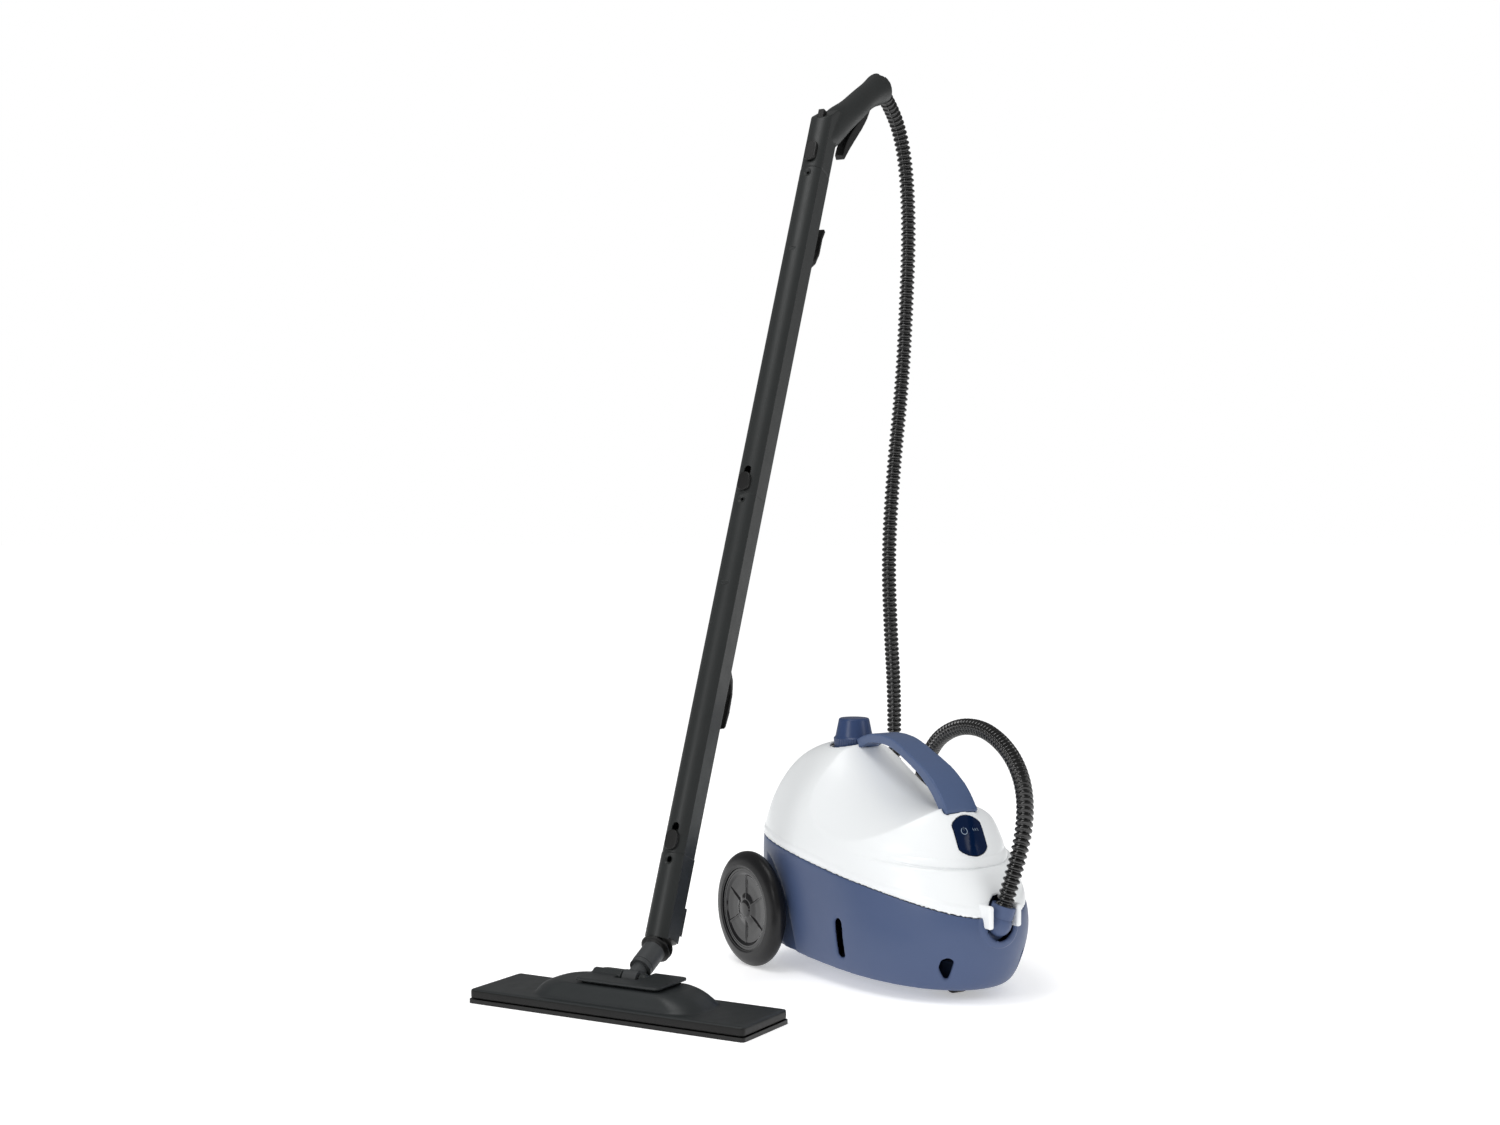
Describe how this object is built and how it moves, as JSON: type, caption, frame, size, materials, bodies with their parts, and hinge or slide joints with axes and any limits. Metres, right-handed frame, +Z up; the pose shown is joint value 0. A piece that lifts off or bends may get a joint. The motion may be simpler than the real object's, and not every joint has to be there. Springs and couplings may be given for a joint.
{
  "type": "canister steam cleaner",
  "caption": "Wheeled boiler canister with a carry handle and screw filler cap, a corrugated hose, a trigger grip, wand tubes and a wide floor head.",
  "frame": {"origin": "centre of the footprint box without the hose, on the floor", "axes": "+Z up; the canister nose points to -Y and its left side to +X; the wand leans towards +X and +Y"},
  "size_m": [0.7615, 0.6145, 1.057],
  "materials": {
    "blue_casing": "satin",
    "white_casing": "gloss",
    "cap_blue": "satin",
    "lens_navy": "gloss",
    "lamp": "clear",
    "circuit_board": "matte",
    "steel": "brushed",
    "brass": "satin",
    "seal_rubber": "matte",
    "tyre_black": "satin",
    "hub_black": "gloss",
    "hose_black": "gloss",
    "wand_grey": "satin",
    "trim_black": "satin",
    "collar_grey": "satin"
  },
  "bodies": {
    "canister": {"lower_shell": "blue_casing", "upper_shell": "white_casing", "carry_handle": "blue_casing", "control_lens": "lens_navy", "indicator_board": "circuit_board", "indicator_lamps": "lamp", "boiler_lower": "steel", "boiler_upper": "steel", "filler_neck": "steel", "filler_dish": "white_casing", "heating_element": "steel", "thermostat": "steel", "thermal_fuse": "steel", "steam_valve": "brass", "steam_pipe": "brass", "valve_pipe": "brass", "hose_socket": "blue_casing", "hose_ball": "blue_casing", "cable_gland": "trim_black", "shell_screws": "steel", "rear_axle": "steel", "axle_clips": "steel", "hose": "hose_black", "grip_left": "wand_grey", "grip_right": "wand_grey", "hose_sleeve": "trim_black", "trigger_pin": "steel", "micro_switch": "trim_black", "tube_upper": "wand_grey", "tube_lower": "wand_grey", "adapter": "wand_grey", "hook_upper": "trim_black", "hook_lower": "trim_black", "joint_seals": "seal_rubber", "inner_pipes": "trim_black", "bellows": "seal_rubber", "neck_collar": "collar_grey"},
    "wheel_right": {"tyre_right": "tyre_black", "hub_right": "hub_black", "hub_cap_right": "hub_black"},
    "wheel_left": {"tyre_left": "tyre_black", "hub_left": "hub_black", "hub_cap_left": "hub_black"},
    "caster": {"caster_fork": "trim_black", "caster_axle": "steel"},
    "caster_roller": {"caster_wheel": "trim_black"},
    "cap_seat": {"cap_seal": "seal_rubber"},
    "cap": {"cap_knob": "cap_blue"},
    "trigger": {"trigger": "trim_black"},
    "lock": {"trigger_lock": "trim_black"},
    "latch_grip": {"latch_grip": "trim_black"},
    "latch_upper": {"latch_upper": "trim_black"},
    "latch_lower": {"latch_lower": "trim_black"},
    "neck": {"neck_yoke": "collar_grey", "pivot_pin": "steel"},
    "head": {"head_plate": "wand_grey", "head_body": "wand_grey", "head_duct": "trim_black", "head_sole": "trim_black"}
  },
  "joints": [
    {"name": "wheel_right_spin", "type": "hinge", "parent": "canister", "child": "wheel_right", "pos_m": [0.027, 0.0772, 0.065], "axis": [1, 0, 0], "continuous": true},
    {"name": "wheel_left_spin", "type": "hinge", "parent": "canister", "child": "wheel_left", "pos_m": [0.261, 0.0772, 0.065], "axis": [1, 0, 0], "continuous": true},
    {"name": "caster_swivel", "type": "hinge", "parent": "canister", "child": "caster", "pos_m": [0.144, -0.1628, 0.034], "axis": [0, 0, 1], "continuous": true},
    {"name": "caster_roll", "type": "hinge", "parent": "caster", "child": "caster_roller", "pos_m": [0.144, -0.1538, 0.014], "axis": [1, 0, 0], "continuous": true},
    {"name": "cap_lift", "type": "slide", "parent": "canister", "child": "cap_seat", "axis": [0, 0, 1], "range_m": [0, 0.012]},
    {"name": "cap_turn", "type": "hinge", "parent": "cap_seat", "child": "cap", "pos_m": [0.144, 0.0402, 0.24], "axis": [0, 0, 1], "range_deg": [0, 720]},
    {"name": "trigger_squeeze", "type": "hinge", "parent": "canister", "child": "trigger", "pos_m": [0.26571, 0.20242, 1.00883], "axis": [-0.4695, 0.8829, 0], "range_deg": [0, 4], "stiffness_Nm_per_rad": 2, "springref_deg": -5.73},
    {"name": "lock_push", "type": "slide", "parent": "canister", "child": "lock", "axis": [-0.3293, -0.1751, -0.9278], "range_m": [0, 0.003], "stiffness_N_per_m": 300, "springref_m": -0.002},
    {"name": "latch_grip_slide", "type": "slide", "parent": "canister", "child": "latch_grip", "axis": [0.3293, 0.1751, 0.9278], "range_m": [0, 0.008], "stiffness_N_per_m": 150, "springref_m": -0.003},
    {"name": "latch_upper_slide", "type": "slide", "parent": "canister", "child": "latch_upper", "axis": [0.3293, 0.1751, 0.9278], "range_m": [0, 0.008], "stiffness_N_per_m": 150, "springref_m": -0.003},
    {"name": "latch_lower_slide", "type": "slide", "parent": "canister", "child": "latch_lower", "axis": [0.3293, 0.1751, 0.9278], "range_m": [0, 0.008], "stiffness_N_per_m": 150, "springref_m": -0.003},
    {"name": "neck_swivel", "type": "hinge", "parent": "canister", "child": "neck", "pos_m": [-0.16725, -0.02779, 0.04708], "axis": [0.7796, 0.4145, 0.4695], "range_deg": [-45, 45]},
    {"name": "head_pitch", "type": "hinge", "parent": "neck", "child": "head", "pos_m": [-0.19064, -0.04023, 0.033], "axis": [0.4695, -0.8829, 0], "range_deg": [-60, 12]}
  ],
  "couplings": [
    {"joint": "cap_lift", "follows": "cap_turn", "m_per_rad": 0.00095493}
  ]
}
